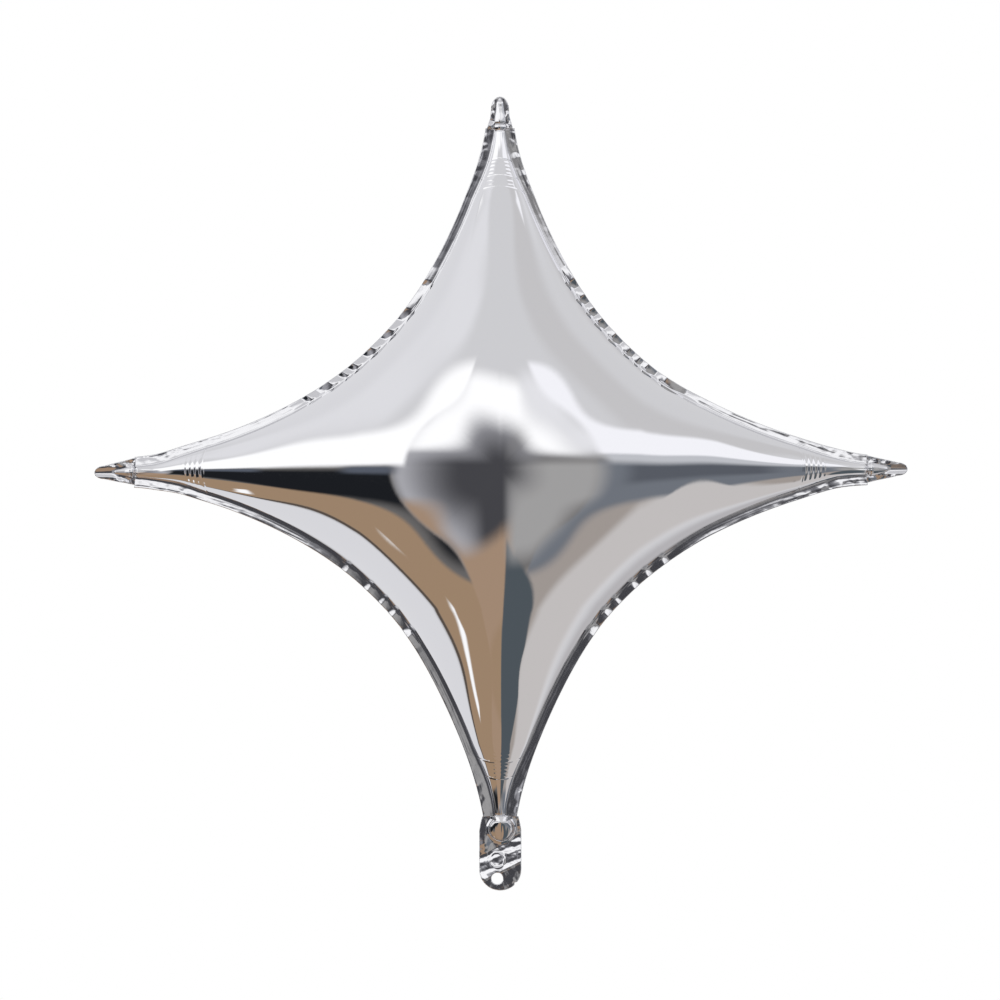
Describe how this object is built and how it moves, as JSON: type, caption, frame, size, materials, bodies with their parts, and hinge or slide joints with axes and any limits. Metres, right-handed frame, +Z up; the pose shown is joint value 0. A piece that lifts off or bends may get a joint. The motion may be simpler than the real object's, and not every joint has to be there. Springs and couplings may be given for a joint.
{
  "type": "four-pointed star foil balloon",
  "caption": "Inflated silver film balloon in the form of a hollow-sided star, with a crinkled flat hem, pinched tips and a filling tail with a tether hole.",
  "frame": {"origin": "centre of the tether hole in the tail, midway between the tail's two films", "axes": "+Z up along the upright arms, +X to the right arm seen from the front, the front faces -Y"},
  "size_m": [0.5309, 0.1746, 0.5181],
  "materials": {
    "mirror_film": "mirror-bright metallised film, stretched smooth by the gas",
    "hem_film": "metallised film, welded flat and finely crinkled",
    "tip_film": "metallised film, pleated at the pinch",
    "tab_film": "metallised film, welded flat and creased",
    "tail_film": "metallised film, slack and wrinkled"
  },
  "bodies": {
    "root": {"envelope_front": "mirror_film", "envelope_back": "mirror_film", "hem_upper_left": "hem_film", "hem_upper_right": "hem_film", "hem_lower_left": "hem_film", "hem_lower_right": "hem_film", "tip_cone_left": "tip_film", "tip_cone_right": "tip_film", "tip_cone_top": "tip_film", "tip_tab_left": "tab_film", "tip_tab_right": "tab_film", "tip_tab_top": "tab_film", "neck_bulb": "tip_film", "tail_front": "tail_film", "tail_back": "tail_film"}
  },
  "joints": []
}
